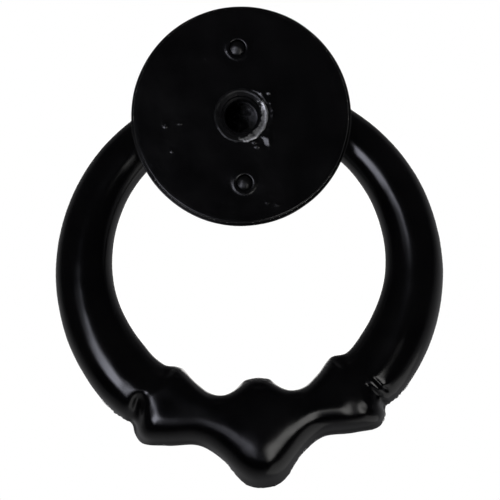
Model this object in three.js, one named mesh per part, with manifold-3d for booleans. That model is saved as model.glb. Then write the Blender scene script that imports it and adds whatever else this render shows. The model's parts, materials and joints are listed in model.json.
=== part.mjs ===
// A ring door knocker, as it hangs on a door: a heavy ring with a lobed drop at the bottom, hinged
// on a lug that stands out of a round rose. One bolt from inside the door screws into the lug.
//
// Millimetres. +Z is up, +Y goes into the door and -Y faces the visitor. The origin is the point
// where the axis of the fixing hole meets the face of the door.

import * as THREE from "three";
import { LoftGeometry } from "three/addons/geometries/LoftGeometry.js";
import { mergeVertices } from "three/addons/utils/BufferGeometryUtils.js";
import Module from "manifold-3d";

const wasm = await Module();
wasm.setup();

const degrees = Math.PI / 180;

// ---------------------------------------------------------------- driving dimensions

const fitGap = 0.1; // between pieces that are fixed to each other
const runningGap = 0.1; // radial, between the pivot pin and its bores

const plateRadius = 22;
const plateThickness = 2.5;
const roseRadius = 22.6;
const roseFront = -8.4; // the highest part of the rose, round the lug

const pivotStandOff = 16; // from the door to the pivot axis
const pivotHeight = 2.8; // the pivot axis is this far above the fixing hole
const pinRadius = 2;
const pinLength = 50; // before its ends are ground flush with the hoop

const lugWidth = 12.4;
const lugNoseRadius = 5.8;
const lugNeckRadius = 6.5;
const lugCollarRadius = 9.5;
const lugCollarThickness = 1.3;

const washerThickness = 0.7;
const washerRadius = 4.6;
const hoopMouth = lugWidth + 2 * (washerThickness + 2 * fitGap); // between the hoop's two ends

const boltRadius = 4; // the fixing bolt is M8
const sleeveRadius = 4.9;
const sleeveLipRadius = 5.3; // the sleeve's rim is flared into the back plate
const sleeveLength = 9;
const sleeveFlareDepth = 0.9;
const sleeveChamferDepth = 1.1;

const rivetSpacing = 27.6;
const rivetRadius = 1.35;
const rivetHeadRadius = 1.5;
const rivetSinkRadius = 2.35;
const rivetSinkDepth = 0.75;
const rivetLength = 4.4;

// The hoop: its outer edge is a circle, and its inner edge is a circle set a little higher, so
// that the metal is thin at the pivot and thick at the bottom.
const hoopOuterRadius = 41;
const hoopInnerRadius = 28.8;
const hoopInnerRise = 2.4;
const hoopDrop = pivotHeight + 32.6; // from the pivot axis down to the centre of the outer circle

// Stations along one half of the hoop, as [angle from the bottom in degrees, value]. A smooth curve
// joins them.
const outerLobes = [ // how far the outline stands out from the outer circle
  [0, 4.3], [5, 3.4], [12, -1.35], [20.5, -3.3], [30, -0.7],
  [36, 1.25], [39.5, 0.7], [42, -0.55], [48, -0.15], [54, 0],
];
const innerLobes = [ // and how far it stands in from the inner circle
  [0, 4.45], [6, 3.75], [12, 1.05], [20, -0.05], [30, 1],
  [38.5, 2.15], [42, 1.85], [47, 0.55], [60, 0.4], [90, 0],
];
const halfDepths = [[0, 6.5], [44, 6.2], [90, 5.8], [135, 5.2], [170, 4.8]];
const flatness = [[0, 1], [39.5, 1], [43.5, 0], [54, 0]]; // 1 on the flat-backed drop, 0 above it

const dropOuterShoulder = 5.2; // how far the back's rounded edges reach in from the outer outline
const dropInnerShoulder = 3; // and from the inner outline
const roundShoulder = 0.49; // on the drop's front and all round the hoop, as a share of the width

const turnFacets = 48; // round the plate and the rose
const boreFacets = 32; // round pins, bores and the fixing sleeve
const rivetFacets = 20;
const sectionFacets = 20; // round the hoop's own section
const dropSectionsEvery = 3; // degrees
const hoopSections = 14; // on each side, from the drop up to the pivot
const dropEnd = 54;
const hoopEnd = 177;

// ---------------------------------------------------------------- materials

function enamel(name) {
  return new THREE.MeshStandardMaterial({ name, color: 0x08080a, roughness: 0.28, metalness: 0.1 });
}

function steel(name) {
  return new THREE.MeshStandardMaterial({ name, color: 0x8d8f93, roughness: 0.35, metalness: 0.9 });
}

// ---------------------------------------------------------------- helpers

function toSolid(geometry) {
  const bare = new THREE.BufferGeometry();
  bare.setAttribute("position", geometry.getAttribute("position"));
  bare.setIndex(geometry.index);
  const merged = mergeVertices(bare, 1e-4);
  return new wasm.Manifold(
    new wasm.Mesh({
      numProp: 3,
      vertProperties: merged.getAttribute("position").array,
      triVerts: new Uint32Array(merged.index.array),
    }),
  );
}

function toGeometry(solid) {
  const mesh = solid.getMesh();
  const geometry = new THREE.BufferGeometry();
  geometry.setAttribute("position", new THREE.BufferAttribute(mesh.vertProperties, 3));
  geometry.setIndex(new THREE.BufferAttribute(mesh.triVerts, 1));
  geometry.computeVertexNormals();
  return geometry;
}

// A turned piece about the Y axis. The profile is a list of [radius, y] that runs anticlockwise,
// and it is closed here unless it starts and ends on the axis.
function turned(profile, facets) {
  const points = profile.map(([radius, y]) => new THREE.Vector2(radius, y));
  if (points[0].x > 0) points.push(points[0].clone());
  return new THREE.LatheGeometry(points, facets);
}

function cylinderAlongX(radius, length) {
  return new THREE.CylinderGeometry(radius, radius, length, boreFacets).rotateZ(Math.PI / 2);
}

// The value of the smooth curve through some stations. It is level at the first and the last.
function valueAt(stations, where) {
  const next = stations.findIndex(([at]) => at > where);
  if (next < 0) return stations.at(-1)[1];
  const slope = (index) => {
    if (index === 0 || index === stations.length - 1) return 0;
    const [before, after] = [stations[index - 1], stations[index + 1]];
    return (after[1] - before[1]) / (after[0] - before[0]);
  };
  const [[from, a], [to, b]] = [stations[next - 1], stations[next]];
  const span = to - from;
  const t = (where - from) / span;
  const ease = t * t * (3 - 2 * t);
  const [leave, arrive] = [t * (1 - t) ** 2, t * t * (t - 1)];
  return a + (b - a) * ease + span * (slope(next - 1) * leave + slope(next) * arrive);
}

function named(name, geometry, material) {
  const mesh = new THREE.Mesh(geometry, material);
  mesh.name = name;
  return mesh;
}

// ---------------------------------------------------------------- fixed pieces

const rivetHeights = [rivetSpacing / 2, -rivetSpacing / 2];

function cutAtRivets(solid, cutter) {
  return rivetHeights.reduce((rest, height) => rest.subtract(cutter.translate([0, 0, height])), solid);
}

function backPlate() {
  const edge = 0.4;
  const bore = sleeveRadius + fitGap;
  const plate = turned([
    [bore, -plateThickness],
    [plateRadius, -plateThickness],
    [plateRadius, -edge],
    [plateRadius - edge, 0],
    [sleeveLipRadius + fitGap, 0],
    [bore, -sleeveFlareDepth],
  ], turnFacets);
  const sinkTop = 0.5; // the cutter stands out of the face
  const sink = turned([
    [0, -plateThickness - sinkTop],
    [rivetRadius + fitGap, -plateThickness - sinkTop],
    [rivetRadius + fitGap, -rivetSinkDepth],
    [rivetHeadRadius + fitGap, -rivetSinkDepth],
    [rivetSinkRadius, 0],
    [rivetSinkRadius, sinkTop],
    [0, sinkTop],
  ], rivetFacets);
  return toGeometry(cutAtRivets(toSolid(plate), toSolid(sink)));
}

function rivet() {
  const headTop = -0.1; // just below the face of the plate, so the plate sits flat on the door
  return turned([
    [0, -rivetLength],
    [rivetRadius - 0.3, -rivetLength],
    [rivetRadius, -rivetLength + 0.3],
    [rivetRadius, -rivetSinkDepth + 0.05],
    [rivetHeadRadius, -rivetSinkDepth + 0.05],
    [rivetHeadRadius * 0.8, headTop - 0.2],
    [rivetHeadRadius * 0.45, headTop - 0.05],
    [0, headTop],
  ], rivetFacets);
}

function frontRose() {
  const back = -plateThickness - fitGap;
  const neckBore = lugNeckRadius + fitGap;
  const rimTop = -4.4;
  const beadRadius = 1.25;
  const beadCentre = roseRadius - 0.9 - beadRadius;
  const profile = [[neckBore, roseFront], [lugCollarRadius + 0.6, roseFront]];

  // An ogee falls from the middle to the foot of the bead.
  const ogee = new THREE.CubicBezierCurve(
    new THREE.Vector2(lugCollarRadius + 0.6, roseFront),
    new THREE.Vector2(14.2, roseFront + 0.2),
    new THREE.Vector2(14.6, rimTop - 0.6),
    new THREE.Vector2(beadCentre - beadRadius, rimTop - 0.5),
  );
  ogee.getPoints(9).slice(1).forEach((p) => profile.push([p.x, p.y]));

  // The bead is a half round that stands on the rim.
  for (let turn = 150; turn >= 0; turn -= 30) {
    const [across, out] = [Math.cos(turn * degrees), Math.sin(turn * degrees)];
    profile.push([beadCentre + beadRadius * across, rimTop - 0.5 - beadRadius * out]);
  }
  profile.push([roseRadius, rimTop + 0.2], [roseRadius, back], [neckBore, back]);

  const blindEnd = -rivetLength - fitGap;
  const hole = turned(
    [[0, blindEnd], [rivetRadius + fitGap, blindEnd], [rivetRadius + fitGap, 0], [0, 0]],
    rivetFacets,
  );
  return toGeometry(cutAtRivets(toSolid(turned(profile, turnFacets)), toSolid(hole)));
}

// The side view of the knuckle, drawn with its height along x: straight flanks that run tangent
// to a round nose about the pivot.
function knuckleOutline(foot) {
  const nose = new THREE.Vector2(pivotHeight, -pivotStandOff);
  const below = new THREE.Vector2(-7, foot);
  const above = new THREE.Vector2(7, foot);
  const tangent = (point, side) => {
    const reach = point.clone().sub(nose);
    return reach.angle() + side * Math.acos(lugNoseRadius / reach.length());
  };
  const outline = new THREE.Shape();
  const [from, to] = [tangent(below, 1) - 2 * Math.PI, tangent(above, -1)];
  outline.moveTo(above.x, above.y);
  outline.lineTo(below.x, below.y);
  outline.absarc(nose.x, nose.y, lugNoseRadius, from, to, false);
  return outline;
}

function pivotLug() {
  const back = -plateThickness - fitGap;
  const collarBack = roseFront - fitGap;
  const collarFront = collarBack - lugCollarThickness;
  const edge = 0.5;
  const stem = turned([
    [0, collarFront],
    [lugCollarRadius - edge, collarFront],
    [lugCollarRadius, collarFront + edge],
    [lugCollarRadius, collarBack],
    [lugNeckRadius, collarBack],
    [lugNeckRadius, back],
    [0, back],
  ], turnFacets);

  const knuckle = new THREE.ExtrudeGeometry(knuckleOutline(collarBack - edge), {
    depth: lugWidth - 2 * edge,
    curveSegments: 14,
    bevelThickness: edge,
    bevelSize: edge,
    bevelOffset: -edge,
    bevelSegments: 2,
  });
  knuckle.translate(0, 0, edge - lugWidth / 2);
  knuckle.rotateY(-Math.PI / 2);

  // The sleeve's socket, and beyond it the end of the hole that was drilled first.
  const socketRadius = sleeveRadius + fitGap;
  const socketEnd = -sleeveLength - fitGap;
  const drillRadius = 3.4;
  const drillEnd = -11.6;
  const drillPoint = drillEnd - drillRadius * Math.tan(31 * degrees);
  const socket = turned([
    [0, drillPoint],
    [drillRadius, drillEnd],
    [drillRadius, socketEnd],
    [socketRadius, socketEnd],
    [socketRadius, 0],
    [0, 0],
  ], boreFacets);
  const crossBore = cylinderAlongX(pinRadius + runningGap, lugWidth * 2);
  crossBore.translate(0, -pivotStandOff, pivotHeight);

  return toGeometry(
    toSolid(stem).add(toSolid(knuckle)).subtract(toSolid(socket)).subtract(toSolid(crossBore)),
  );
}

// The threaded sleeve that ties the plate and the rose to the lug. Its bore is the plain hole that
// the bolt's crests need.
function fixingSleeve() {
  const lip = 0.25;
  return turned([
    [boltRadius, -sleeveLength],
    [sleeveRadius, -sleeveLength],
    [sleeveRadius, -sleeveFlareDepth],
    [sleeveLipRadius, 0],
    [sleeveLipRadius - lip, 0],
    [boltRadius, -sleeveChamferDepth],
  ], boreFacets);
}

// ---------------------------------------------------------------- swinging pieces, about the pivot axis

function spacerWasher() {
  return turned([
    [pinRadius + runningGap, -washerThickness / 2],
    [washerRadius, -washerThickness / 2],
    [washerRadius, washerThickness / 2],
    [pinRadius + runningGap, washerThickness / 2],
  ], boreFacets).rotateZ(Math.PI / 2);
}

// One section of the hoop. It lies in the plane through the hoop's axis at this angle from the
// bottom, and its points run from the outer edge round the back, which is flat on the drop.
function hoopSection(angle) {
  const away = Math.abs(angle);
  const [sin, cos] = [Math.sin(angle * degrees), Math.cos(angle * degrees)];
  const innerCircle = Math.sqrt(hoopInnerRadius ** 2 - (hoopInnerRise * sin) ** 2) - hoopInnerRise * cos;
  const inner = innerCircle - valueAt(innerLobes, away);
  const outer = hoopOuterRadius + valueAt(outerLobes, away);
  const depth = valueAt(halfDepths, away);
  const round = roundShoulder * (outer - inner);
  const flat = valueAt(flatness, away);
  return Array.from({ length: sectionFacets }, (_, step) => {
    const turn = ((step + 0.5) / sectionFacets) * 2 * Math.PI;
    const [lean, height] = [Math.cos(turn), Math.sin(turn)];
    const backShoulder = lean > 0 ? dropOuterShoulder : dropInnerShoulder;
    const shoulder = height > 0 ? THREE.MathUtils.lerp(round, backShoulder, flat) : round;
    const radius = lean > 0 ? outer - shoulder * (1 - lean) : inner + shoulder * (1 + lean);
    return new THREE.Vector3(radius * sin, depth * height, -radius * cos - hoopDrop);
  });
}

function hoopAngles() {
  const half = [];
  for (let angle = 0; angle < dropEnd; angle += dropSectionsEvery) half.push(angle);
  for (let step = 0; step <= hoopSections; step++) {
    half.push(dropEnd + (step / hoopSections) * (hoopEnd - dropEnd));
  }
  return [...half.slice(1).reverse().map((angle) => -angle), ...half];
}

const wholeHoop = toSolid(
  new LoftGeometry(hoopAngles().map(hoopSection), { capStart: true, capEnd: true }),
);
const gapBlock = toSolid(new THREE.BoxGeometry(hoopMouth, hoopOuterRadius, hoopOuterRadius));

// The two ends of the hoop are cut square to face the lug, and bored for the pin.
function knockerRing() {
  const bore = toSolid(cylinderAlongX(pinRadius + fitGap, pinLength));
  return toGeometry(wholeHoop.subtract(gapBlock).subtract(bore));
}

// The pin runs right through both ends of the hoop, and is ground off flush with its outside.
function pivotPin() {
  return toGeometry(toSolid(cylinderAlongX(pinRadius, pinLength)).intersect(wholeHoop.add(gapBlock)));
}

// ---------------------------------------------------------------- the assembly

const knocker = new THREE.Group();

const fixed = new THREE.Group();
fixed.add(named("back_plate", backPlate(), enamel("plate enamel")));
fixed.add(named("front_rose", frontRose(), enamel("rose enamel")));
fixed.add(named("pivot_lug", pivotLug(), enamel("lug enamel")));
fixed.add(named("fixing_sleeve", fixingSleeve(), steel("sleeve steel")));
["upper", "lower"].forEach((place, index) => {
  const mesh = named(`plate_rivet_${place}`, rivet(), enamel("rivet enamel"));
  mesh.position.z = rivetHeights[index];
  fixed.add(mesh);
});
knocker.add(fixed);

const swinging = new THREE.Group();
swinging.position.set(0, -pivotStandOff, pivotHeight);
swinging.add(named("knocker_ring", knockerRing(), enamel("ring enamel")));
swinging.add(named("pivot_pin", pivotPin(), steel("pin steel")));
[["left", -1], ["right", 1]].forEach(([hand, side]) => {
  const mesh = named(`spacer_washer_${hand}`, spacerWasher(), steel("washer steel"));
  mesh.position.x = side * (lugWidth / 2 + fitGap + washerThickness / 2);
  swinging.add(mesh);
});
knocker.add(swinging);

export default knocker;
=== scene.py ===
"""The looks of a black enamelled ring door knocker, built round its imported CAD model.

Lengths in this script are millimetres, in the CAD model's frame, until a mesh is made.
"""

import json
import math

import bmesh
import bpy
import numpy as np
from mathutils import Matrix, Vector, noise
from mathutils.bvhtree import BVHTree

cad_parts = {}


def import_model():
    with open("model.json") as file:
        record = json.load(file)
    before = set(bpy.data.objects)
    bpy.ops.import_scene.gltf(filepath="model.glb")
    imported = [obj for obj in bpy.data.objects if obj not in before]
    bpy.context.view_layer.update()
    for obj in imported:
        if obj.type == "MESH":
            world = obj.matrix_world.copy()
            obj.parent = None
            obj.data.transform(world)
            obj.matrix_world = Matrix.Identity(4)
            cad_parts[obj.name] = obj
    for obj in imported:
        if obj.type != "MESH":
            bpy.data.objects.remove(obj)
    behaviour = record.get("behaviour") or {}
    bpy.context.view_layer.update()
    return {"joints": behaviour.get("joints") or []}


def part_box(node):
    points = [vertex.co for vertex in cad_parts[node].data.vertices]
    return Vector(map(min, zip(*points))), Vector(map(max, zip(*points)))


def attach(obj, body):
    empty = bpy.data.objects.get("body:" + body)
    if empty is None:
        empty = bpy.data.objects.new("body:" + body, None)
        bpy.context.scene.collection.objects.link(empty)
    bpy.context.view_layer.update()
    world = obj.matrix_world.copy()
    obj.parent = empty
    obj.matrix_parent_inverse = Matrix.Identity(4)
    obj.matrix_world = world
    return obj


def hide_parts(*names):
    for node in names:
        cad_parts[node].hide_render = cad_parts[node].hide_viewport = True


MM = 0.001

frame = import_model()

# ---------------------------------------------------------------- sizes shared with the CAD model

PIVOT = Vector(frame["joints"][0]["pos_m"]) / MM
PLATE_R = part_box("back_plate")[1].z / MM
PLATE_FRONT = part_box("back_plate")[0].y / MM
PLATE_FACE_R = 21.0
PLATE_FACE = -0.02
ROSE_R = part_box("front_rose")[1].z / MM
ROSE_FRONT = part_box("front_rose")[0].y / MM
ROSE_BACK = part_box("front_rose")[1].y / MM
LUG_HALF = 6.2
KNUCKLE_R = 5.8
PIN_R = 2.0
BORE_R = 2.1
WASHER_R = 4.6
WASHER_HALF = 0.35
SLEEVE_R = 4.9
SLEEVE_LIP_R = 5.3
PLATE_BORE_R = SLEEVE_R + 0.1
SLEEVE_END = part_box("fixing_sleeve")[0].y / MM
THREAD_R = 4.0
THREAD_PITCH = 1.25
RIVET_Z = 13.8
RIVET_R = 1.35
RIVET_HEAD_R = 1.43
RIVET_RISE = 0.28
RIVET_TIP = 0.09
SINK_DEPTH = 0.75
HOOP_OUTER = 41.0
HOOP_INNER = 28.8
HOOP_RISE = 2.4
HOOP_DROP = 35.4
HOOP_MOUTH = 7.1

# How far the drop's outlines stand off the hoop's two circles: (degrees from the bottom, mm).
OUTER_LOBES = [
    (0, 4.3), (5, 3.4), (12, -1.35), (20.5, -3.3), (30, -0.7),
    (36, 1.25), (39.5, 0.7), (42, -0.55), (48, -0.15), (54, 0),
]
INNER_LOBES = [
    (0, 4.45), (6, 3.75), (12, 1.05), (20, -0.05), (30, 1),
    (38.5, 2.15), (42, 1.85), (47, 0.55), (60, 0.4), (90, 0),
]
HALF_DEPTHS = [(0, 6.5), (44, 6.2), (90, 5.8), (135, 5.2), (170, 4.8)]
FLATNESS = [(0, 1), (39.5, 1), (43.5, 0), (54, 0)]
OUTER_SHOULDERS = [(0, 7.4), (9, 6.8), (20, 6.3), (44, 6.3)]
INNER_SHOULDER = 3.0
TWIST = 0.04

# The casting isn't quite even: its drop leans to one side, and its inside is a little full.
DROP_LEAN = -1.0
INNER_FULLNESS = 0.3
HUMP_BREADTH = 0.5  # how much fuller the sides of the drop's middle hump are on the inside
HUMP_SIDE = 10  # where those sides are, in degrees from the hump's middle
HUMP_SIDE_REACH = 4
KNOBS = [  # a small swelling and a dent on the drop: degrees, radius, size, rise
    (37.0, 36.2, 1.5, 0.2), (-34.0, 35.4, 1.3, -0.16),
]
RIGHT_LEAN = (0.082, 0.176)  # how much a flat rises for each mm along X and along Z
LEFT_LEAN = (-0.17, 0.103)
FACETS = [  # flats at the drop's ends: degrees, radius, direction, half length, half width, height, lean
    (-45.5, 35.1, -45.5, 1.7, 0.65, 6.0, RIGHT_LEAN),
    (-38.4, 36.8, -38.4, 1.05, 1.05, 6.0, RIGHT_LEAN),
    (-48.3, 36.1, 42, 1.1, 0.9, 5.77, RIGHT_LEAN),
    (40.3, 34.5, -17.5, 2.5, 0.7, 6.03, LEFT_LEAN),
    (48.0, 33.9, -59, 2.2, 0.8, 6.1, LEFT_LEAN),
]
TWISTED = [(60, 0), (90, 1), (140, 1), (165, 0)]  # where the hoop is twisted, and how much

OBJECT_CENTRE = (0.0, -0.012, -0.0276)  # in metres, as lights and the camera are placed


# ---------------------------------------------------------------- mesh helpers


def make_piece(name, verts, faces, body, material, hides=()):
    """A finished piece from vertices in mm. It rides on a CAD body and stands for the CAD nodes."""
    mesh = bpy.data.meshes.new(name)
    mesh.from_pydata([Vector(v) * MM for v in verts], [], faces)
    mesh.validate()
    obj = bpy.data.objects.new(name, mesh)
    bpy.context.scene.collection.objects.link(obj)
    mesh.materials.append(material)
    shade(obj)
    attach(obj, body)
    if hides:
        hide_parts(*hides)
    return obj


def shade(obj, sharp_angle=38):
    """Smooth shading with hard edges where the surface turns by more than the angle."""
    bm = bmesh.new()
    bm.from_mesh(obj.data)
    bmesh.ops.recalc_face_normals(bm, faces=bm.faces)
    limit = math.radians(sharp_angle)
    for face in bm.faces:
        face.smooth = True
    for edge in bm.edges:
        edge.smooth = len(edge.link_faces) != 2 or edge.calc_face_angle(0) < limit
    bm.to_mesh(obj.data)
    bm.free()


def temporary(verts, faces):
    """A plain object for a boolean. The caller deletes it."""
    mesh = bpy.data.meshes.new("temporary")
    mesh.from_pydata([Vector(v) * MM for v in verts], [], faces)
    obj = bpy.data.objects.new("temporary", mesh)
    bpy.context.scene.collection.objects.link(obj)
    bm = bmesh.new()
    bm.from_mesh(mesh)
    bmesh.ops.recalc_face_normals(bm, faces=bm.faces)
    bm.to_mesh(mesh)
    bm.free()
    return obj


def combine(obj, other, operation):
    """Joins or cuts obj with a temporary object, which is then deleted."""
    step = obj.modifiers.new("combine", "BOOLEAN")
    step.operation = operation
    step.solver = "EXACT"
    step.object = other
    settle(obj)
    bpy.data.objects.remove(other)


def settle(obj):
    """Applies the modifiers of obj."""
    graph = bpy.context.evaluated_depsgraph_get()
    mesh = bpy.data.meshes.new_from_object(obj.evaluated_get(graph))
    obj.modifiers.clear()
    obj.data = mesh


def turned(profile, steps, centre=(0, 0), reshape=None):
    """Vertices and faces of a body turned about an axis along Y, through (x, z) = centre.

    A profile that starts and ends on the axis makes a solid. Any other closes on itself as a ring.
    """
    solid = profile[0][0] == 0
    rim = profile[1:-1] if solid else profile
    verts, faces = [], []
    for r, y in rim:
        for k in range(steps):
            turn = 2 * math.pi * k / steps
            point = (r * math.cos(turn), y, r * math.sin(turn))
            x, y_new, z = reshape(*point) if reshape else point
            verts.append((x + centre[0], y_new, z + centre[1]))
    rows = len(rim) if not solid else len(rim) - 1
    for i in range(rows):
        a, b = i * steps, (i + 1) % len(rim) * steps
        for k in range(steps):
            n = (k + 1) % steps
            faces.append((a + k, a + n, b + n, b + k))
    if solid:
        for row, (_, y) in ((0, profile[0]), (len(rim) - 1, profile[-1])):
            tip = len(verts)
            point = reshape(0, y, 0) if reshape else (0, y, 0)
            verts.append((point[0] + centre[0], point[1], point[2] + centre[1]))
            for k in range(steps):
                faces.append((tip, row * steps + k, row * steps + (k + 1) % steps))
    return verts, faces


def rounded(corners, steps=5):
    """A profile with its corners rounded, from (radius, y, rounding) triples."""
    profile = []
    for i, (r, y, size) in enumerate(corners):
        here = Vector((r, y))
        if size == 0:
            profile.append((r, y))
            continue
        before = (Vector(corners[i - 1][:2]) - here).normalized()
        after = (Vector(corners[(i + 1) % len(corners)][:2]) - here).normalized()
        half = before.angle(after) / 2
        reach = size / math.tan(half)
        centre = here + (before + after).normalized() * (size / math.sin(half))
        start, end = here + before * reach - centre, here + after * reach - centre
        for k in range(steps + 1):
            spoke = start.lerp(end, k / steps).normalized() * size
            if k in (0, steps):
                spoke = (start, end)[k == steps]
            profile.append(tuple(centre + spoke))
    return profile


def along(start, end, count):
    """Points from start to end of a straight stretch of profile, without the first."""
    return [tuple(Vector(start).lerp(Vector(end), k / count)) for k in range(1, count + 1)]


def rough(point, size, seed=0):
    """Smooth noise from -1 to 1 with bumps of about this size in mm."""
    return noise.noise(Vector(point) / size + Vector((seed * 17.3, seed * 5.1, -seed * 9.7)))


# ---------------------------------------------------------------- materials


def link(tree, source, target):
    """Joins an output to an input."""
    tree.links.new(source, target)


def new_material(name):
    """A material, its node tree and its surface shader."""
    material = bpy.data.materials.new(name)
    material.use_nodes = True
    tree = material.node_tree
    return material, tree, tree.nodes["Principled BSDF"]


def noise_node(tree, size, detail=3.0, roughness=0.55, distortion=0.0):
    """Noise with bumps of about size mm, placed by the row frame."""
    place = tree.nodes.get("place") or tree.nodes.new("ShaderNodeTexCoord")
    place.name = "place"
    node = tree.nodes.new("ShaderNodeTexNoise")
    node.inputs["Scale"].default_value = 1 / (size * MM)
    node.inputs["Detail"].default_value = detail
    node.inputs["Roughness"].default_value = roughness
    node.inputs["Distortion"].default_value = distortion
    link(tree, place.outputs["Object"], node.inputs["Vector"])
    return node.outputs["Fac"]


def ramp(tree, source, stops):
    """A colour ramp over a value, from (place, colour) stops."""
    node = tree.nodes.new("ShaderNodeValToRGB")
    elements = node.color_ramp.elements
    while len(elements) < len(stops):
        elements.new(0.5)
    for element, (place, colour) in zip(elements, stops):
        element.position = place
        element.color = (*colour, 1) if len(colour) == 3 else colour
    link(tree, source, node.inputs["Fac"])
    return node.outputs["Color"]


def spread(tree, source, low, high, start=0.3, end=0.7):
    """A value carried from the range start to end into the range low to high."""
    node = tree.nodes.new("ShaderNodeMapRange")
    node.inputs["From Min"].default_value = start
    node.inputs["From Max"].default_value = end
    node.inputs["To Min"].default_value = low
    node.inputs["To Max"].default_value = high
    link(tree, source, node.inputs["Value"])
    return node.outputs["Result"]


def bumps(tree, heights):
    """Stacked bump nodes, from (height, strength, depth in mm) triples."""
    normal = None
    for height, strength, depth in heights:
        node = tree.nodes.new("ShaderNodeBump")
        node.inputs["Strength"].default_value = strength
        node.inputs["Distance"].default_value = depth * MM
        link(tree, height, node.inputs["Height"])
        if normal:
            link(tree, normal, node.inputs["Normal"])
        normal = node.outputs["Normal"]
    return normal


def enamel(name, gloss, grain, peel=0.25):
    """Black stoved enamel on cast metal: gloss is its mean roughness, grain its fine texture."""
    material, tree, shader = new_material(name)
    cloud = noise_node(tree, 9.0, 4.0)
    fine = noise_node(tree, 0.35, 2.0, 0.6)
    skin = noise_node(tree, 1.6, 3.0, 0.5)
    tint = ramp(tree, cloud, [(0.3, (0.0006, 0.0006, 0.0009)), (0.7, (0.0011, 0.001, 0.0013))])
    link(tree, tint, shader.inputs["Base Color"])
    link(tree, spread(tree, cloud, gloss - 0.04, gloss + 0.05), shader.inputs["Roughness"])
    normal = bumps(tree, [(skin, peel, 0.05), (fine, grain, 0.03)])
    link(tree, normal, shader.inputs["Normal"])
    shader.inputs["IOR"].default_value = 1.5
    return material


def bare_steel(name, shade_value, roughness):
    """Turned steel with fine tool marks and dark staining."""
    material, tree, shader = new_material(name)
    blotches = noise_node(tree, 1.4, 5.0, 0.65, 0.4)
    marks = noise_node(tree, 0.25, 3.0, 0.6)
    dark, light = shade_value * 0.25, shade_value
    tint = ramp(tree, blotches, [(0.32, (dark, dark, dark * 1.05)), (0.62, (light, light, light * 1.03))])
    link(tree, tint, shader.inputs["Base Color"])
    link(tree, spread(tree, blotches, roughness + 0.2, roughness), shader.inputs["Roughness"])
    link(tree, bumps(tree, [(marks, 0.4, 0.05)]), shader.inputs["Normal"])
    shader.inputs["Metallic"].default_value = 1.0
    return material


def vector_node(tree, operation, source, constant=None):
    """A vector maths node on a source, with a constant as its second vector."""
    node = tree.nodes.new("ShaderNodeVectorMath")
    node.operation = operation
    if constant:
        node.inputs[1].default_value = constant
    link(tree, source, node.inputs[0])
    return node


def add_values(tree, first, second):
    """The sum of two values."""
    node = tree.nodes.new("ShaderNodeMath")
    node.operation = "ADD"
    link(tree, first, node.inputs[0])
    link(tree, second, node.inputs[1])
    return node.outputs[0]


def one_sided(tree, direction, blotches):
    """A value that grows along a direction, with a ragged edge from the blotch noise."""
    place = tree.nodes["place"].outputs["Object"]
    side = vector_node(tree, "DOT_PRODUCT", place, direction)
    return add_values(tree, side.outputs["Value"], blotches)


def drilled_steel(name):
    """The bare steel end of the hole, with painted shade that turns it black on the +X side, where the
    hole's own wall keeps the window's light off it.
    """
    material, tree, shader = new_material(name)
    blotches = noise_node(tree, 1.2, 5.0, 0.65, 0.4)
    marks = noise_node(tree, 0.2, 3.0, 0.6)
    # Painted shade: the steel fades to black towards the +X side, which lies in the hole's own shadow, and
    # stays bright bare steel towards -X.
    painted_shade_fade = one_sided(tree, (-130.0, 0.0, -30.0), blotches)
    tint = ramp(tree, painted_shade_fade, [
        (0.35, (0.004, 0.004, 0.004)), (0.62, (0.15, 0.15, 0.15)), (0.85, (0.5, 0.5, 0.52)),
    ])
    link(tree, tint, shader.inputs["Base Color"])
    link(tree, spread(tree, marks, 0.35, 0.55), shader.inputs["Roughness"])
    link(tree, bumps(tree, [(marks, 0.7, 0.1)]), shader.inputs["Normal"])
    shader.inputs["Metallic"].default_value = 1.0
    return material


def battered_mouth(name):
    """Steel that is scraped bright on the side where the bolt rubbed, and still painted elsewhere."""
    material, tree, steel = new_material(name)
    paint = tree.nodes.new("ShaderNodeBsdfPrincipled")
    blend = tree.nodes.new("ShaderNodeMixShader")
    blotches = noise_node(tree, 0.9, 4.0, 0.65, 0.5)
    marks = noise_node(tree, 0.22, 3.0, 0.6)
    across = vector_node(tree, "MULTIPLY", tree.nodes["place"].outputs["Object"], (1, 0, 1))
    reach = vector_node(tree, "LENGTH", across.outputs[0])
    scraped = one_sided(tree, (-100.0, 0.0, -62.0), blotches)
    outside = spread(tree, reach.outputs["Value"], -0.5, 0.0, 0.0037, 0.0044)
    bare = ramp(tree, add_values(tree, scraped, outside), [(0.74, (0, 0, 0)), (0.88, (1, 1, 1))])
    bright = ramp(tree, blotches, [(0.3, (0.45, 0.45, 0.46)), (0.6, (1, 1, 1))])
    black = ramp(tree, blotches, [(0.3, (0.0008, 0.0008, 0.001)), (0.7, (0.004, 0.004, 0.005))])
    link(tree, bright, steel.inputs["Base Color"])
    link(tree, spread(tree, marks, 0.36, 0.56), steel.inputs["Roughness"])
    link(tree, black, paint.inputs["Base Color"])
    link(tree, spread(tree, marks, 0.28, 0.4), paint.inputs["Roughness"])
    paint.inputs["Specular IOR Level"].default_value = 0.45
    relief = bumps(tree, [(marks, 0.5, 0.06)])
    for shader in (steel, paint):
        link(tree, relief, shader.inputs["Normal"])
    steel.inputs["Metallic"].default_value = 1.0
    out = tree.nodes["Material Output"]
    link(tree, bare, blend.inputs["Fac"])
    link(tree, paint.outputs[0], blend.inputs[1])
    link(tree, steel.outputs[0], blend.inputs[2])
    link(tree, blend.outputs[0], out.inputs["Surface"])
    return material


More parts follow.
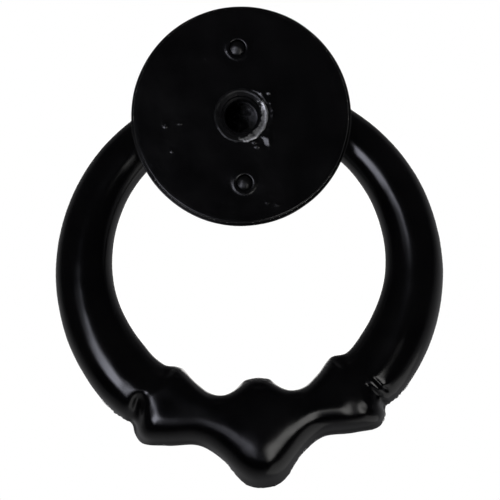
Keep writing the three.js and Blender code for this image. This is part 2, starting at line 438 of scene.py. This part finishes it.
PLATE_ENAMEL = enamel("plate enamel", 0.2, 0.35, 0.3)
ROSE_ENAMEL = enamel("rose enamel", 0.22, 0.1)
LUG_ENAMEL = enamel("lug enamel", 0.22, 0.1)
RING_ENAMEL = enamel("ring enamel", 0.18, 0.08, 0.15)
RIVET_ENAMEL = enamel("rivet enamel", 0.3, 0.25, 0.2)
SLEEVE_STEEL = battered_mouth("sleeve steel")
DRILLED_STEEL = drilled_steel("drilled steel")
PIN_STEEL = bare_steel("blackened pin steel", 0.03, 0.35)
WASHER_STEEL = bare_steel("blackened washer steel", 0.08, 0.35)


# ---------------------------------------------------------------- the mounting


def paint_nibs():
    """Dust under the paint of the plate: a few large nibs, then seeded fine ones."""
    nibs = [  # x, z, half width, half height, rise
        (15.5, -1, 0.4, 0.5, 0.34), (12.5, -1, 0.5, 0.2, 0.12), (14.5, -6.5, 0.25, 0.25, 0.2),
        (-4.5, -18, 0.4, 0.4, 0.09), (-6.5, -18.5, 0.45, 0.4, 0.09),
        (-6, 4.5, 0.55, 0.6, 0.2), (-4.5, 4.5, 0.6, 0.35, 0.12),
        (-2.5, -5.5, 0.4, 0.3, 0.22), (-3, -6.5, 0.5, 0.3, 0.15),
    ]
    dust = np.random.default_rng(4)
    for _ in range(26):
        r = PLATE_FACE_R * math.sqrt(dust.uniform(0.1, 1))
        turn = dust.uniform(0, 2 * math.pi)
        size = dust.uniform(0.14, 0.24)
        nibs.append((r * math.cos(turn), r * math.sin(turn), size, size, dust.uniform(0.02, 0.05)))
    return nibs


def welt_rise(x, z):
    """Height of the metal that is pushed up in arcs round the plate's hole."""
    welts = [  # radius, start and end in degrees from -X towards -Z, rise
        (6.6, -34, 18, 0.17), (6.3, 12, 50, 0.2), (6.0, -66, -20, 0.16),
    ]
    r = math.hypot(x, z)
    turn = math.degrees(math.atan2(-z, -x))
    total = 0
    for radius, start, end, rise in welts:
        if abs(r - radius) < 1 and start < turn < end:
            wander = 0.25 * rough((x, 0, z), 1.1, 7)
            taper = math.sin(math.pi * (turn - start) / (end - start)) ** 0.5
            uneven = 0.75 + 0.45 * rough((x, 0, z), 0.8, 8)
            total += rise * taper * uneven * math.exp(-(((r - radius - wander) / 0.38) ** 2))
    return total


def run_rise(x, z):
    """Height of the one run in the plate's paint, beside the hole."""
    dx, dz = x + 5, z + 5.5
    return math.exp(-((dx / 0.8) ** 4) - (dz / 1.2) ** 4) * (0.12 - 0.2 * dx + 0.15 * dz)


def rivet_rise(x, z):
    """Height of the raised rim and the tilt of the plate's face round each rivet."""
    gap = math.hypot(x, abs(z) - RIVET_Z)
    if gap >= 5:
        return 0
    tilt = RIVET_TIP * math.exp(-((gap / 3.2) ** 4))
    return 0.12 * math.exp(-(((gap - 2.1) / 0.48) ** 2)) + tilt * (z - math.copysign(RIVET_Z, z))


def back_plate():
    """The flat disc against the door, with its paint nibs and the rough rim of its hole."""
    nibs = paint_nibs()

    def worn(x, y, z):
        r = math.hypot(x, z)
        ragged = 0.06 * rough((x, 0, z), 4.0, 1) + 0.05 * rough((x, 0, z), 1.2, 2)
        grow = 1 + ragged / max(r, 1) * max(0, (r - 18) / 4)
        if y > -0.6:
            y += 0.02 * rough((x, 0, z), 5.0, 3) + 0.008 * rough((x, 0, z), 0.8, 4)
            for nib_x, nib_z, wide, high, rise in nibs:
                away = ((x - nib_x) / wide) ** 2 + ((z - nib_z) / high) ** 2
                if away < 6:
                    y += rise * math.exp(-away)
            y += welt_rise(x, z) + run_rise(x, z) + rivet_rise(x, z)
        return x * grow, y, z * grow

    outline = rounded([
        (PLATE_BORE_R, PLATE_FRONT, 0), (PLATE_R, PLATE_FRONT, 0.15),
        (PLATE_R, PLATE_FACE, 0.35), (PLATE_FACE_R, PLATE_FACE, 0),
    ])
    face = along((PLATE_FACE_R, PLATE_FACE), (SLEEVE_LIP_R + 0.1, PLATE_FACE), 110)
    profile = outline + face + [(PLATE_BORE_R, -0.9)]
    verts, faces = turned(profile, 480, reshape=worn)
    plate = make_piece(
        "painted_back_plate", verts, faces, "mounting", PLATE_ENAMEL, ["back_plate"]
    )
    shank_r, head_r, mouth_r = RIVET_R + 0.12, RIVET_HEAD_R + 0.12, RIVET_HEAD_R + 0.35
    sink = [
        (0, -3.5), (shank_r, -3.5), (shank_r, -SINK_DEPTH), (head_r, -SINK_DEPTH + 0.1),
        (head_r, -0.25), (mouth_r, 0.1), (mouth_r, 0.6), (0, 0.6),
    ]
    for z in (RIVET_Z, -RIVET_Z):
        combine(plate, temporary(*turned(sink, 48, centre=(0, z))), "DIFFERENCE")
    shade(plate)


def rivets():
    """The two domed rivet heads, each sunk in its own hollow."""
    for place, z, seed in (("upper", RIVET_Z, 5), ("lower", -RIVET_Z, 6)):
        def hammered(x, y, z_here):
            return x, y + 0.06 * rough((x, y, z_here), 1.1, seed) + RIVET_TIP * z_here, z_here

        profile = [(0, -4.4), (RIVET_R - 0.3, -4.4), (RIVET_R, -4.1), (RIVET_R, -0.75), (RIVET_HEAD_R, -0.6)]
        dome_r = (RIVET_HEAD_R**2 + RIVET_RISE**2) / (2 * RIVET_RISE)
        for k in range(10, -1, -1):
            r = RIVET_HEAD_R * k / 10
            profile.append((r, -0.06 - dome_r + math.sqrt(dome_r**2 - r**2)))
        verts, faces = turned(profile, 48, centre=(0, z), reshape=hammered)
        make_piece(
            f"rivet_head_{place}", verts, faces, "mounting", RIVET_ENAMEL,
            [f"plate_rivet_{place}"],
        )


def rose():
    """The turned front disc: a land under the lug, an ogee and a bead on the rim."""
    neck = 6.6
    bead_r, bead_c, rim_y = 1.25, ROSE_R - 2.15, -4.4
    profile = [(neck, ROSE_FRONT), (10.1, ROSE_FRONT)]
    ends = [Vector((10.1, ROSE_FRONT)), Vector((14.2, ROSE_FRONT + 0.2))]
    ends += [Vector((14.6, rim_y - 0.6)), Vector((bead_c - bead_r, rim_y - 0.5))]
    for k in range(1, 25):
        t = k / 24
        weights = ((1 - t) ** 3, 3 * t * (1 - t) ** 2, 3 * t * t * (1 - t), t**3)
        profile.append(tuple(sum((w * p for w, p in zip(weights, ends)), Vector((0, 0)))))
    for turn in range(150, -1, -10):
        a = math.radians(turn)
        profile.append((bead_c + bead_r * math.cos(a), rim_y - 0.5 - bead_r * math.sin(a)))
    profile += rounded([
        (ROSE_R - 0.9, rim_y - 0.5, 0), (ROSE_R, rim_y + 0.2, 0.2),
        (ROSE_R, ROSE_BACK, 0.2), (neck, ROSE_BACK, 0),
    ])[1:]

    def cast(x, y, z):
        r = math.hypot(x, z)
        grow = 1 + 0.05 * rough((x, y, z), 6.0, 8) / max(r, 1)
        return x * grow, y + 0.03 * rough((x, y, z), 7.0, 9), z * grow

    verts, faces = turned(profile[::-1], 240, reshape=cast)
    make_piece("turned_rose", verts, faces, "mounting", ROSE_ENAMEL, ["front_rose"])


def lug():
    """The cast lug: collar, stem and knuckle melted together with soft fillets."""
    collar = rounded([
        (0, -9.8, 0), (9.5, -9.8, 0.5), (9.5, -8.5, 0), (6.5, -8.5, 0), (6.5, -2.6, 0), (0, -2.6, 0),
    ])
    body = temporary(*turned(collar, 96))
    combine(body, temporary(*knuckle()), "UNION")
    socket = [
        (0, -14.0), (3.8, -14.0), (3.8, -9.1), (PLATE_BORE_R, -9.1), (PLATE_BORE_R, 0.0), (0, 0.0),
    ]
    combine(body, temporary(*turned(socket, 64)), "DIFFERENCE")
    melt = body.modifiers.new("melt", "REMESH")
    melt.mode = "VOXEL"
    melt.voxel_size = 0.2 * MM
    soften = body.modifiers.new("soften", "SMOOTH")
    soften.factor = 0.5
    soften.iterations = 6
    settle(body)
    verts = [v.co / MM for v in body.data.vertices]
    verts = [v + Vector((0, 0.05 * rough(v, 4.0, 11), 0.05 * rough(v, 4.0, 12))) for v in verts]
    faces = [tuple(f.vertices) for f in body.data.polygons]
    bpy.data.objects.remove(body)
    piece = make_piece("cast_lug", verts, faces, "mounting", LUG_ENAMEL, ["pivot_lug"])
    combine(piece, temporary(*rod_along_x(BORE_R, 12)), "DIFFERENCE")
    shade(piece, 50)


def knuckle():
    """The block that holds the pin: flanks that run tangent to a round nose."""
    nose = Vector((PIVOT.z, PIVOT.y))
    below, above = Vector((-7, -9.0)), Vector((7, -9.0))

    def tangent(point, side):
        reach = point - nose
        return math.atan2(reach.y, reach.x) + side * math.acos(KNUCKLE_R / reach.length)

    start, end = tangent(below, 1) - 2 * math.pi, tangent(above, -1)
    outline = [above, below]
    for k in range(49):
        a = start + (end - start) * k / 48
        outline.append(nose + Vector((math.cos(a), math.sin(a))) * KNUCKLE_R)
    verts = [(x, p.y, p.x) for x in (-LUG_HALF, LUG_HALF) for p in outline]
    count = len(outline)
    faces = [tuple(range(count)), tuple(range(count, 2 * count))]
    for k in range(count):
        n = (k + 1) % count
        faces.append((k, n, count + n, count + k))
    return verts, faces


def rod_along_x(radius, half):
    """A cylinder along the pivot axis."""
    steps = 64
    verts, faces = [], [tuple(range(steps)), tuple(range(steps, 2 * steps))]
    for x in (-half, half):
        for k in range(steps):
            a = 2 * math.pi * k / steps
            verts.append((x, PIVOT.y + radius * math.cos(a), PIVOT.z + radius * math.sin(a)))
    for k in range(steps):
        n = (k + 1) % steps
        faces.append((k, n, steps + n, steps + k))
    return verts, faces


def sleeve():
    """The threaded sleeve: a battered, rounded mouth and a real helical thread."""
    steps, depth = 96, 0.6
    mouth = rounded([
        (SLEEVE_R, SLEEVE_END, 0), (SLEEVE_R, -0.9, 0), (SLEEVE_LIP_R + 0.05, -0.35, 0),
        (SLEEVE_LIP_R + 0.32, -0.05, 0.04), (SLEEVE_LIP_R - 0.1, 0.1, 0.3), (4.8, -0.02, 0.2),
        (4.1, -0.4, 0.12), (THREAD_R, -1.2, 0),
    ], 4)
    rows = 120
    thread = [(THREAD_R, -1.2 + (SLEEVE_END + 1.2) * k / rows) for k in range(1, rows + 1)]

    def cut(x, y, z):
        r = math.hypot(x, z)
        a = math.atan2(z, x)
        if r < THREAD_R + 0.01:
            phase = (y / THREAD_PITCH - a / (2 * math.pi)) % 1
            crest = min(1, max(0, 1.25 - 2.9 * abs(phase - 0.5)))
            fade = min(1, max(0, (-y - 1.1) / 0.6))
            r -= depth * crest * fade
        elif y > -0.9:
            r += 0.08 * rough((x, y, z), 1.1, 13) + 0.05 * rough((x, y, z), 0.4, 14)
            y += 0.09 * rough((x, 0, z), 1.3, 15) + 0.04 * rough((x, 0, z), 0.5, 16)
        return r * math.cos(a), y, r * math.sin(a)

    verts, faces = turned(mouth + thread, steps, reshape=cut)
    make_piece(
        "threaded_sleeve", verts, faces, "mounting", SLEEVE_STEEL, ["fixing_sleeve"]
    )


def drilled_end():
    """The bare end of the drilled hole behind the sleeve, with the rings that the drill left."""
    wall, point = 3.38, 13.5
    inside = [(wall, -9.3), (wall, -11.4)]
    rings = 44
    for k in range(1, rings):
        r = wall * (1 - k / rings)
        mark = 0.035 if k % 4 < 2 else -0.035
        inside.append((r, -11.4 - (wall - r) / wall * (point - 11.4) + mark))
    outside = [(wall + 0.2, -point - 0.3), (wall + 0.2, -9.3)]
    profile = [(0, -point - 0.3), *outside, *inside, (0, -point)]

    def wander(x, y, z):
        return x, y + 0.02 * rough((x, 0, z), 0.7, 17), z

    verts, faces = turned(profile, 72, reshape=wander)
    make_piece("drilled_hole_end", verts, faces, "mounting", DRILLED_STEEL)


# ---------------------------------------------------------------- the swinging ring


def smooth_curve(stations, where):
    """The smooth curve through (place, value) stations, level at the first and the last."""
    places, values = np.array(stations, float).T
    slopes = np.zeros(len(places))
    slopes[1:-1] = (values[2:] - values[:-2]) / (places[2:] - places[:-2])
    where = np.clip(where, places[0], places[-1])
    i = np.clip(np.searchsorted(places, where, side="right") - 1, 0, len(places) - 2)
    span = places[i + 1] - places[i]
    t = (where - places[i]) / span
    ease = t * t * (3 - 2 * t)
    bend = slopes[i] * t * (1 - t) ** 2 + slopes[i + 1] * t * t * (t - 1)
    return values[i] + (values[i + 1] - values[i]) * ease + span * bend


def outline_radius(angle):
    """The hoop's outer and inner radius at an angle in degrees from the bottom."""
    turn = np.radians(angle)
    away = np.abs(angle - DROP_LEAN * (1 - smooth_step(40, 60, np.abs(angle))))
    rise = HOOP_RISE * np.sin(turn)
    inner = np.sqrt(HOOP_INNER**2 - rise**2) - HOOP_RISE * np.cos(turn)
    fullness = INNER_FULLNESS * smooth_step(3, 12, away) * (1 - smooth_step(60, 95, away))
    fullness = fullness + HUMP_BREADTH * np.exp(-(((away - HUMP_SIDE) / HUMP_SIDE_REACH) ** 2))
    outer = HOOP_OUTER + smooth_curve(OUTER_LOBES, away)
    return outer, inner - smooth_curve(INNER_LOBES, away) - fullness


def distance_to(outline, radius, angle):
    """Distance of points on one radial line from a polyline of (x, z) points."""
    turn = math.radians(angle)
    spots = np.stack([radius * math.sin(turn), -radius * math.cos(turn)], 1)
    gaps = spots[:, None, :] - outline[None, :, :]
    return np.hypot(gaps[..., 0], gaps[..., 1]).min(axis=1)


def edge_height(distance, width):
    """Height, as a share of the full height, of a quarter-round edge of this width."""
    inward = np.clip(1 - distance / width, 0, 1)
    return np.sqrt(1 - inward**2)


def even_steps(radius, height, count):
    """Spreads the points of one face evenly along it."""
    run = np.concatenate([[0], np.cumsum(np.hypot(np.diff(radius), np.diff(height)))])
    even = np.linspace(0, run[-1], count + 1)
    return np.interp(even, run, radius), np.interp(even, run, height)


def hoop_section(angle, outlines, count):
    """Radius and height of each point round the section at an angle."""
    away = abs(angle)
    outer, inner = (float(r) for r in outline_radius(np.array(angle)))
    depth = float(smooth_curve(HALF_DEPTHS, away))
    flat = float(smooth_curve(FLATNESS, away))
    half = (outer - inner) / 2
    sweep = (1 - np.cos(np.linspace(0, math.pi, 161))) / 2
    radius = outer + (inner - outer) * sweep
    shoulders = (float(smooth_curve(OUTER_SHOULDERS, away)), INNER_SHOULDER)
    outer_width, inner_width = (half + (w - half) * flat for w in shoulders)
    outside, inside = (distance_to(line, radius, angle) if away < 60 else None for line in outlines)
    if outside is None:
        outside, inside = outer - radius, radius - inner
    outside[0] = inside[-1] = 0
    back = depth * edge_height(outside, outer_width) * edge_height(inside, inner_width)
    lean = (radius - (outer + inner) / 2) / half
    if angle < 0:
        back += TWIST * half * lean * (1 - lean**2) * float(smooth_curve(TWISTED, away))
    lip = 0.2 * flat
    front_radius = radius + lip * (1 - sweep) ** 2
    front = depth * np.sqrt(np.clip(1 - lean**2, 0, 1))
    back_points = even_steps(radius, back, count)
    front_points = even_steps(front_radius, -front, count)
    return (
        np.concatenate([back_points[0], front_points[0][-2:0:-1]]),
        np.concatenate([back_points[1], front_points[1][-2:0:-1]]),
    )


def hoop_stations():
    """Angles along one half of the hoop, closest together at the collars beside the drop."""
    end = 180 - math.degrees(math.asin(HOOP_MOUTH / HOOP_OUTER))
    parts = [np.arange(0, 39, 0.75), np.arange(39, 49, 0.25), np.linspace(49, end, 84)]
    half = np.concatenate(parts)
    return np.concatenate([-half[:0:-1], half]), end


def hoop_grid():
    """The hoop's surface as rows of points, in the row frame, with each point's section place."""
    count = 64
    angles, end = hoop_stations()
    fine = np.linspace(-70, 70, 1401)
    outlines = [
        np.stack([r * np.sin(np.radians(fine)), -r * np.cos(np.radians(fine))], 1)
        for r in outline_radius(fine)
    ]
    rows, radii, heights, turns = [], [], [], []
    for angle in angles:
        radius, height = hoop_section(angle, outlines, count)
        late = np.clip((abs(angle) - 140) / (end - 140), 0, 1)
        late = late * late * (3 - 2 * late)
        square = end - (180 - np.degrees(np.arcsin((HOOP_MOUTH + 0.3 * late) / radius)))
        turn = np.radians(math.copysign(1, angle) * (abs(angle) - late * square))
        rows.append(np.stack([radius * np.sin(turn), height, -radius * np.cos(turn) - HOOP_DROP], 1))
        radii.append(radius)
        heights.append(height)
        turns.append(np.full(len(radius), angle))
    return np.array(rows), np.array(radii), np.array(heights), np.array(turns)


def smooth_step(low, high, value):
    """0 below low, 1 above high, and a smooth rise between them."""
    t = np.clip((value - low) / (high - low), 0, 1)
    return t * t * (3 - 2 * t)


def trench(angle, radius, middle, slant, width_before, width_after):
    """1 along the middle of a groove across the casting, falling to 0 at its sides.

    The groove crosses radius 36 at an angle, and moves by slant degrees for each mm outwards.
    """
    gap = np.radians(angle - middle - slant * (radius - 36)) * radius
    return np.exp(-((gap / np.where(gap < 0, width_before, width_after)) ** 2))


def left_end_details(away, radius, back):
    """Where the ring meets the drop on one side: a deep pocket open to the outside."""
    reach = smooth_step(32.2, 35.4, radius) * (1 - 0.5 * smooth_step(38, 40.5, radius))
    pocket = -1.6 * reach * trench(away, radius, 43.9, -0.65, 1.9, 1.05)
    return back * pocket


def right_end_details(away, radius, back):
    """Where the ring meets the drop on the other side: a short ridge between two grooves."""
    depth = 0.16 * np.clip(radius - 33.2, 0, 4.5) * (1 - smooth_step(37.2, 38.8, radius))
    grooves = 0.6 * trench(away, radius, 46.9, 0, 0.35, 0.45) + trench(away, radius, 43.7, 0, 1.1, 0.7)
    corner = -0.8 * smooth_step(37.5, 39.5, radius) * trench(away, radius, 43.2, 0, 0.9, 0.6)
    return back * (corner - depth * grooves)


def front_details(away, radius, height):
    """A bead between two grooves, round the front half at each end of the drop."""
    bead = 0.45 * trench(away, radius, 44.3, 0, 0.6, 0.6)
    grooves = trench(away, radius, 42.2, 0, 0.45, 0.45) + trench(away, radius, 46.4, 0, 0.45, 0.45)
    return (bead - 0.4 * grooves) * smooth_step(0.3, 2.5, -height)


def place_on_hoop(turn, r):
    """X, and Z from the hoop's centre, of a place given in degrees from the bottom and radius."""
    return r * math.sin(math.radians(turn)), -r * math.cos(math.radians(turn))


def flatten(stand, facet, x, z, points, height):
    """Brings the casting to one leaning flat, with soft edges."""
    turn, r, direction, half_length, half_width, middle, lean = facet
    flat_x, flat_z = place_on_hoop(turn, r)
    dx, dz = x - flat_x, z - flat_z
    cos, sin = math.cos(math.radians(direction)), math.sin(math.radians(direction))
    across = ((dx * sin - dz * cos) / half_length) ** 4 + ((dx * cos + dz * sin) / half_width) ** 4
    share = np.where(height > 1, np.exp(-across), 0)
    return stand * (1 - share) + share * (middle + lean[0] * dx + lean[1] * dz - points[..., 1])


def hoop_details(points, radius, height, angle):
    """How far each point of the casting stands off the plain hoop, along its normal."""
    away = np.abs(angle)
    back = smooth_step(-1.2, 1.2, height)
    left, right = left_end_details(away, radius, back), right_end_details(away, radius, back)
    stand = np.where(angle > 0, left, right) + front_details(away, radius, height)
    x, z = points[..., 0], points[..., 2] + HOOP_DROP
    for turn, r, size, rise in KNOBS:
        knob_x, knob_z = place_on_hoop(turn, r)
        stand += back * rise * np.exp(-((np.hypot(x - knob_x, z - knob_z) / size) ** 2))
    for facet in FACETS:
        stand = flatten(stand, facet, x, z, points, height)
    ragged = 0.1 + 0.09 * np.sin(away * 2.9) * np.sin(away * 1.3)
    flash = ragged * np.exp(-((height / 0.2) ** 2)) * (away < 52) * (radius > 34)
    return stand + flash


def soften(points, height, where, rounds):
    """Melts the creases on the flat side of the drop, as far as where is 1."""
    share = 0.5 * smooth_step(0.5, 2.0, height) * where
    for _ in range(rounds):
        beside = np.roll(points, 1, 1) + np.roll(points, -1, 1)
        before, after = np.roll(points, 1, 0), np.roll(points, -1, 0)
        points = points + share[..., None] * ((beside + before + after) / 4 - points)
    return points


def casting_waviness(points):
    """The unevenness of a hand-finished casting."""
    return np.array([
        0.07 * rough(p, 11.0, 21) + 0.03 * rough(p, 3.5, 22) for p in points.reshape(-1, 3)
    ]).reshape(points.shape[:-1])


def surface_normals(points):
    """Unit normals of a grid that is closed round each row, pointing out of the casting."""
    across = np.roll(points, -1, 1) - np.roll(points, 1, 1)
    along_rows = np.gradient(points, axis=0)
    normal = np.cross(along_rows, across)
    normal /= np.linalg.norm(normal, axis=2, keepdims=True) + 1e-12
    outwards = points - points.mean(axis=1, keepdims=True)
    if np.sum(normal * outwards) < 0:
        normal = -normal
    return normal


def close_grid(points):
    """Faces round a grid of rows, with rounded edges and flat faces at its two ends."""
    rows = [*points]
    for index, sign in ((0, 1), (-1, -1)):
        edge, middle = points[index], points[index].mean(axis=0)
        extra = []
        for turn in (30, 60, 90):
            a = math.radians(turn)
            spokes = edge - middle
            size = np.linalg.norm(spokes, axis=1, keepdims=True)
            ring = middle + spokes * (1 - 0.3 * (1 - math.cos(a)) / size)
            ring[:, 0] = edge[:, 0] + sign * 0.3 * math.sin(a)
            extra.append(ring)
        rows = extra[::-1] + rows if index == 0 else rows + extra
    count = points.shape[1]
    verts = np.concatenate(rows)
    faces = []
    for i in range(len(rows) - 1):
        a, b = i * count, (i + 1) * count
        faces += [(a + k, a + (k + 1) % count, b + (k + 1) % count, b + k) for k in range(count)]
    for start, row in ((0, rows[0]), ((len(rows) - 1) * count, rows[-1])):
        tip = len(verts)
        verts = np.concatenate([verts, row.mean(axis=0)[None]])
        faces += [(tip, start + k, start + (k + 1) % count) for k in range(count)]
    return verts, faces


def ring():
    """The hoop and its drop, one casting, bored at both ends for the pin."""
    points, radius, height, angle = hoop_grid()
    drop = 1 - smooth_step(48, 53, np.abs(angle))
    tip = 1 - smooth_step(4, 17, np.abs(angle))
    left = drop * smooth_step(28, 34, angle)
    points = soften(points, height, drop, 10)
    points = soften(points, height, tip, 60)
    stand = hoop_details(points, radius, height, angle) + casting_waviness(points)
    calm = np.clip((np.abs(points[..., 0]) - 8) / 4, 0, 1) + (points[..., 2] < -30)
    points = points + surface_normals(points) * (stand * np.clip(calm, 0, 1))[..., None]
    points = soften(points, height, drop, 4)
    points = soften(points, height, left, 20)
    verts, faces = close_grid(points)
    verts = verts + np.array([0, PIVOT.y, PIVOT.z])
    piece = make_piece(
        "ring_casting", verts.tolist(), faces, "ring", RING_ENAMEL, ["knocker_ring"]
    )
    pin(BVHTree.FromObject(piece, bpy.context.evaluated_depsgraph_get()))
    combine(piece, temporary(*rod_along_x(BORE_R, 30)), "DIFFERENCE")
    shade(piece)


def pin(ring_surface):
    """The pivot pin, whose ends are ground to the ring's own outside."""
    steps, rings = 64, 8
    verts, faces = [], []
    for side in (-1, 1):
        start = len(verts)
        for i in range(rings + 1):
            r = PIN_R * i / rings
            for k in range(steps if i else 1):
                a = 2 * math.pi * k / steps
                y, z = PIVOT.y + r * math.cos(a), PIVOT.z + r * math.sin(a)
                hit = ring_surface.ray_cast(Vector((side * 60, y, z)) * MM, Vector((-side, 0, 0)))
                verts.append((hit[0].x / MM - side * 0.02, y, z))
        for k in range(steps):
            n = (k + 1) % steps
            faces.append((start, start + 1 + k, start + 1 + n))
        for i in range(rings - 1):
            a, b = start + 1 + i * steps, start + 1 + (i + 1) * steps
            faces += [(a + k, a + (k + 1) % steps, b + (k + 1) % steps, b + k) for k in range(steps)]
    half = len(verts) // 2
    a, b = half - steps, 2 * half - steps
    faces += [(a + k, a + (k + 1) % steps, b + (k + 1) % steps, b + k) for k in range(steps)]
    make_piece("ground_pin", verts, faces, "ring", PIN_STEEL, ["pivot_pin"])


def washers():
    """A spacer washer on each side of the lug."""
    profile = rounded([
        (BORE_R, -WASHER_HALF, 0.08), (WASHER_R, -WASHER_HALF, 0.15),
        (WASHER_R, WASHER_HALF, 0.15), (BORE_R, WASHER_HALF, 0.08),
    ])
    for hand, side in (("left", -1), ("right", 1)):
        verts, faces = turned(profile, 64)
        shift = side * (LUG_HALF + 0.1 + WASHER_HALF)
        verts = [(y + shift, x + PIVOT.y, z + PIVOT.z) for x, y, z in verts]
        make_piece(
            f"washer_{hand}", verts, faces, "ring", WASHER_STEEL,
            [f"spacer_washer_{hand}"],
        )


# ---------------------------------------------------------------- stage, lights and camera


def aim(obj, target, roll=0.0):
    """Turns a light or the camera to look at a point."""
    look = Vector(target) - obj.location
    obj.rotation_mode = "QUATERNION"
    obj.rotation_quaternion = look.to_track_quat("-Z", "Y") @ Matrix.Rotation(roll, 4, "Z").to_quaternion()


def floor():
    """A pale floor under the hanging knocker."""
    steps, radius, height = 96, 0.4, -0.13
    turns = [2 * math.pi * k / steps for k in range(steps)]
    rim = [(radius * math.cos(a), radius * math.sin(a), height) for a in turns]
    mesh = bpy.data.meshes.new("floor")
    mesh.from_pydata(rim, [], [tuple(range(steps))])
    obj = bpy.data.objects.new("floor", mesh)
    bpy.context.scene.collection.objects.link(obj)
    material, tree, shader = new_material("pale floor")
    pale = ramp(tree, noise_node(tree, 120.0, 2.0), [(0.3, (0.86, 0.86, 0.87)), (0.7, (0.9, 0.9, 0.9))])
    link(tree, pale, shader.inputs["Base Color"])
    shader.inputs["Roughness"].default_value = 0.9
    mesh.materials.append(material)
    obj.visible_glossy = False


def world():
    """White for the eye and the floor; for reflections, dim walls beside and behind the object."""
    made = bpy.data.worlds.new("studio")
    bpy.context.scene.world = made
    made.use_nodes = True
    tree = made.node_tree
    tree.nodes.clear()
    out = tree.nodes.new("ShaderNodeOutputWorld")
    mix = tree.nodes.new("ShaderNodeMixShader")
    both = tree.nodes.new("ShaderNodeAddShader")
    plain, belt, walls = (tree.nodes.new("ShaderNodeBackground") for _ in range(3))
    path = tree.nodes.new("ShaderNodeLightPath")
    place = tree.nodes.new("ShaderNodeTexCoord")

    def along_axis(axis):
        return vector_node(tree, "DOT_PRODUCT", place.outputs["Generated"], axis).outputs["Value"]

    def greys(source, stops):
        return ramp(tree, source, [(at, (v, v, v * 1.03)) for at, v in stops])

    glow = spread(tree, along_axis((-0.15, -1.0, -0.62)), 0.0, 1.0, 0.0, 1.2)
    belt_shades = [
        (0.0, 0.0), (0.05, 0.05), (0.23, 0.13), (0.43, 0.22), (0.63, 0.25), (0.79, 0.24),
        (0.875, 0.17), (0.935, 0.08), (1.0, 0.06),
    ]
    link(tree, greys(glow, belt_shades), belt.inputs["Color"])
    strength = spread(tree, along_axis((-0.12, 0.0, -0.9)), 0.28, 1.08, -0.35, 0.35)
    link(tree, strength, belt.inputs["Strength"])
    behind = spread(tree, along_axis((0.0, -1.0, 0.0)), 0.0, 1.0, 0.15, 0.6)
    side_shades = [(0.0, 0.08), (0.25, 0.08), (0.42, 0.0), (0.58, 0.0), (0.7, 0.06), (1.0, 0.11)]
    sideways = spread(tree, along_axis((1.0, 0.0, 0.0)), 0.0, 1.0, -1.0, 1.0)
    link(tree, greys(sideways, side_shades), walls.inputs["Color"])
    link(tree, behind, walls.inputs["Strength"])
    link(tree, belt.outputs[0], both.inputs[0])
    link(tree, walls.outputs[0], both.inputs[1])
    link(tree, path.outputs["Is Glossy Ray"], mix.inputs["Fac"])
    link(tree, plain.outputs[0], mix.inputs[1])
    link(tree, both.outputs[0], mix.inputs[2])
    link(tree, mix.outputs[0], out.inputs[0])
    plain.inputs["Color"].default_value = (1, 1, 1, 1)
    plain.inputs["Strength"].default_value = 1.0


def softbox(name, tilt, around, size, glow, colour=(1, 1, 1), distance=0.9):
    """A soft light in front of the plate's flat side; glow is its brightness as a surface.

    Tilt is its angle from straight ahead. Around is where it stands on the clock: 0 on the +X
    side, 90 below, 180 on the -X side. Its second size runs towards straight ahead.
    """
    width, height = size
    lamp = bpy.data.lights.new(name, "AREA")
    lamp.shape = "RECTANGLE"
    lamp.size, lamp.size_y = width, height
    lamp.energy = glow * math.pi * width * height
    lamp.color = colour
    obj = bpy.data.objects.new(name, lamp)
    bpy.context.scene.collection.objects.link(obj)
    t, a = math.radians(tilt), math.radians(around)
    direction = Vector((math.sin(t) * math.cos(a), math.cos(t), -math.sin(t) * math.sin(a)))
    obj.location = Vector(OBJECT_CENTRE) + direction * distance
    aim(obj, OBJECT_CENTRE, math.radians(around - 90))
    obj.visible_camera = False


def lights():
    """A large window low on the +X side, and weaker lights round it."""
    blue, white = (0.86, 0.87, 1.0), (1.0, 0.99, 0.97)
    softbox("window", 29, 37, (0.19, 0.32), 6.2, blue)
    softbox("window, soft edge", 29, 37, (0.3, 0.46), 1.9, blue)
    softbox("window, upper end", 29, 12, (0.16, 0.36), 0.3, blue)
    softbox("window, lower end", 27, 64, (0.12, 0.26), 0.8, blue)
    softbox("below", 29, 90, (0.16, 0.2), 0.2, blue)
    softbox("lower right", 29, 118, (0.15, 0.36), 3.0, white)
    softbox("far lower right", 84, 125, (0.9, 0.5), 0.4, white)
    softbox("front", 176, 270, (0.6, 0.6), 3.0, white)


def camera():
    """Behind the knocker, level and square on, a little rolled."""
    data = bpy.data.cameras.new("camera")
    data.sensor_width = 36.0
    data.lens = 158.5
    obj = bpy.data.objects.new("camera", data)
    bpy.context.scene.collection.objects.link(obj)
    target = Vector((-0.4, 0.0, -27.55)) * MM
    obj.location = target + Vector((0, 0.45, 0))
    aim(obj, target, math.radians(-3.0))
    bpy.context.scene.camera = obj


def view_settings():
    """Shows the colours as they are, with no film look."""
    scene = bpy.context.scene
    scene.view_settings.view_transform = "Standard"
    scene.view_settings.look = "None"


# ---------------------------------------------------------------- everything

back_plate()
rivets()
rose()
lug()
sleeve()
drilled_end()
ring()
washers()
floor()
world()
lights()
camera()
view_settings()
